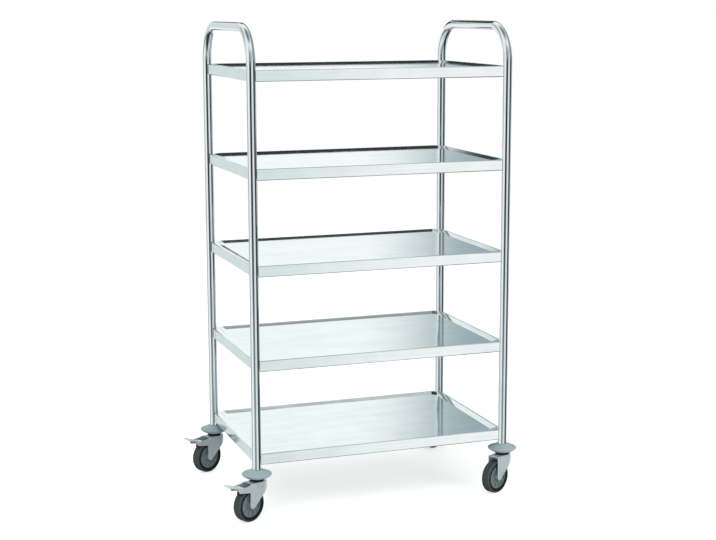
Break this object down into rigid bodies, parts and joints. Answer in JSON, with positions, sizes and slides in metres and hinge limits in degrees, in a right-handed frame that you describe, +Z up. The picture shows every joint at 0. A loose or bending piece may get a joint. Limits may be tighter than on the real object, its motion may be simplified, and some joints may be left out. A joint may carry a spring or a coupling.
{
  "type": "serving trolley",
  "caption": "Tall serving trolley: pressed stainless shelves with raised rims between bent-tube end frames that form the push handles, on swivel casters with foot brakes and bumper discs.",
  "frame": {"origin": "on the floor under the middle of the whole footprint, with the casters trailing as stored", "axes": "+X along the shelves from the braked end to the other, +Y to the back, +Z up"},
  "size_m": [0.981, 0.6457, 1.4976],
  "materials": {
    "stainless_tube": "polished round tube",
    "stainless_sheet": "fine brushed, nearly mirror",
    "grey_bumper_plastic": "satin moulded",
    "zinc_plated_steel": "bright zinc plating",
    "grey_rubber": "matt moulded",
    "grey_polyamide": "satin moulded"
  },
  "bodies": {
    "frame": {"left_end_frame": "stainless_tube", "right_end_frame": "stainless_tube", "bottom_shelf": "stainless_sheet", "lower_shelf": "stainless_sheet", "middle_shelf": "stainless_sheet", "upper_shelf": "stainless_sheet", "top_shelf": "stainless_sheet", "bumper_discs": "grey_bumper_plastic", "caster_stems": "zinc_plated_steel", "swivel_races": "zinc_plated_steel"},
    "front_left_caster": {"front_left_fork": "zinc_plated_steel", "front_left_axle_bolt": "zinc_plated_steel", "front_left_axle_nut": "zinc_plated_steel", "front_left_brake_pin": "zinc_plated_steel"},
    "front_left_wheel": {"front_left_tyre": "grey_rubber", "front_left_wheel_hub": "grey_polyamide"},
    "front_left_pedal": {"front_left_brake_pedal": "zinc_plated_steel"},
    "rear_left_caster": {"rear_left_fork": "zinc_plated_steel", "rear_left_axle_bolt": "zinc_plated_steel", "rear_left_axle_nut": "zinc_plated_steel", "rear_left_brake_pin": "zinc_plated_steel"},
    "rear_left_wheel": {"rear_left_tyre": "grey_rubber", "rear_left_wheel_hub": "grey_polyamide"},
    "rear_left_pedal": {"rear_left_brake_pedal": "zinc_plated_steel"},
    "front_right_caster": {"front_right_fork": "zinc_plated_steel", "front_right_axle_bolt": "zinc_plated_steel", "front_right_axle_nut": "zinc_plated_steel"},
    "front_right_wheel": {"front_right_tyre": "grey_rubber", "front_right_wheel_hub": "grey_polyamide"},
    "rear_right_caster": {"rear_right_fork": "zinc_plated_steel", "rear_right_axle_bolt": "zinc_plated_steel", "rear_right_axle_nut": "zinc_plated_steel"},
    "rear_right_wheel": {"rear_right_tyre": "grey_rubber", "rear_right_wheel_hub": "grey_polyamide"}
  },
  "joints": [
    {"name": "front_left_swivel", "type": "hinge", "parent": "frame", "child": "front_left_caster", "pos_m": [-0.37547, -0.25308, 0.1185], "axis": [0, 0, 1], "continuous": true},
    {"name": "front_left_roll", "type": "hinge", "parent": "front_left_caster", "child": "front_left_wheel", "pos_m": [-0.40666, -0.26897, 0.052], "axis": [0.454, -0.891, 0], "continuous": true},
    {"name": "front_left_brake", "type": "hinge", "parent": "front_left_caster", "child": "front_left_pedal", "pos_m": [-0.43241, -0.28209, 0.1073], "axis": [0.454, -0.891, 0], "range_deg": [0, 14]},
    {"name": "rear_left_swivel", "type": "hinge", "parent": "frame", "child": "rear_left_caster", "pos_m": [-0.37547, 0.27692, 0.1185], "axis": [0, 0, 1], "continuous": true},
    {"name": "rear_left_roll", "type": "hinge", "parent": "rear_left_caster", "child": "rear_left_wheel", "pos_m": [-0.40666, 0.26103, 0.052], "axis": [0.454, -0.891, 0], "continuous": true},
    {"name": "rear_left_brake", "type": "hinge", "parent": "rear_left_caster", "child": "rear_left_pedal", "pos_m": [-0.43241, 0.24791, 0.1073], "axis": [0.454, -0.891, 0], "range_deg": [0, 14]},
    {"name": "front_right_swivel", "type": "hinge", "parent": "frame", "child": "front_right_caster", "pos_m": [0.44453, -0.25308, 0.1185], "axis": [0, 0, 1], "continuous": true},
    {"name": "front_right_roll", "type": "hinge", "parent": "front_right_caster", "child": "front_right_wheel", "pos_m": [0.41334, -0.26897, 0.052], "axis": [0.454, -0.891, 0], "continuous": true},
    {"name": "rear_right_swivel", "type": "hinge", "parent": "frame", "child": "rear_right_caster", "pos_m": [0.44453, 0.27692, 0.1185], "axis": [0, 0, 1], "continuous": true},
    {"name": "rear_right_roll", "type": "hinge", "parent": "rear_right_caster", "child": "rear_right_wheel", "pos_m": [0.41334, 0.26103, 0.052], "axis": [0.454, -0.891, 0], "continuous": true}
  ]
}
